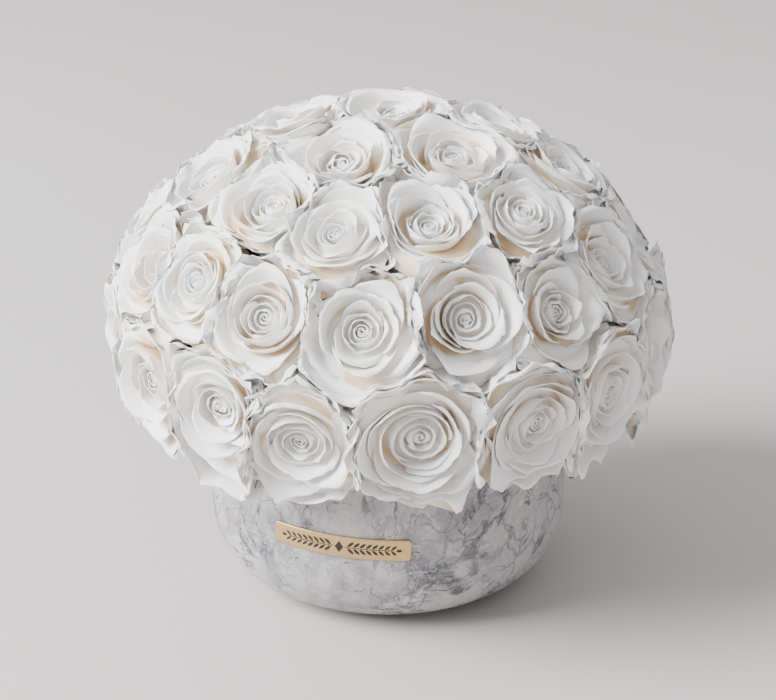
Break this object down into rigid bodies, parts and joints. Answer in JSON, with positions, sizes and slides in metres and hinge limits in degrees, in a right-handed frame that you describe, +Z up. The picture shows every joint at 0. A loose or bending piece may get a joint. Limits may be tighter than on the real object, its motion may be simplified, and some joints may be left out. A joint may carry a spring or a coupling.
{
  "type": "preserved rose arrangement in a bowl",
  "caption": "Round marble bowl with a dome of preserved white roses on a lift-out foam insert, and a small brass plaque with a leaf ornament on the front.",
  "frame": {"origin": "centre of the foot's felt disc, on the surface that the bowl stands on", "axes": "+Z up along the bowl's axis, -Y the front where the plaque is, +X to the right of a person facing the plaque"},
  "size_m": [0.3014, 0.3018, 0.2662],
  "materials": {
    "marble": "satin",
    "felt": "matte",
    "liner_plastic": "satin",
    "dry_foam": "matte",
    "stem": "matte",
    "adhesive": "matte",
    "plaque_brass": "satin",
    "petal": "satin"
  },
  "bodies": {
    "bowl": {"bowl": "marble", "foot_felt": "felt", "plaque_adhesive": "adhesive", "plaque": "plaque_brass"},
    "insert": {"liner": "liner_plastic", "foam_core": "dry_foam", "rose_stems": "stem", "rose_01": "petal", "rose_02": "petal", "rose_03": "petal", "rose_04": "petal", "rose_05": "petal", "rose_06": "petal", "rose_07": "petal", "rose_08": "petal", "rose_09": "petal", "rose_10": "petal", "rose_11": "petal", "rose_12": "petal", "rose_13": "petal", "rose_14": "petal", "rose_15": "petal", "rose_16": "petal", "rose_17": "petal", "rose_18": "petal", "rose_19": "petal", "rose_20": "petal", "rose_21": "petal", "rose_22": "petal", "rose_23": "petal", "rose_24": "petal", "rose_25": "petal", "rose_26": "petal", "rose_27": "petal", "rose_28": "petal", "rose_29": "petal", "rose_30": "petal", "rose_31": "petal", "rose_32": "petal", "rose_33": "petal", "rose_34": "petal", "rose_35": "petal", "rose_36": "petal", "rose_37": "petal", "rose_38": "petal", "rose_39": "petal", "rose_40": "petal", "rose_41": "petal", "rose_42": "petal", "rose_43": "petal", "rose_44": "petal", "rose_45": "petal", "rose_46": "petal", "rose_47": "petal", "rose_48": "petal", "rose_49": "petal", "rose_50": "petal", "rose_51": "petal", "rose_52": "petal", "rose_53": "petal"}
  },
  "joints": [
    {"name": "insert_lift", "type": "slide", "parent": "bowl", "child": "insert", "axis": [0, 0, 1], "range_m": [0, 0.12]}
  ]
}
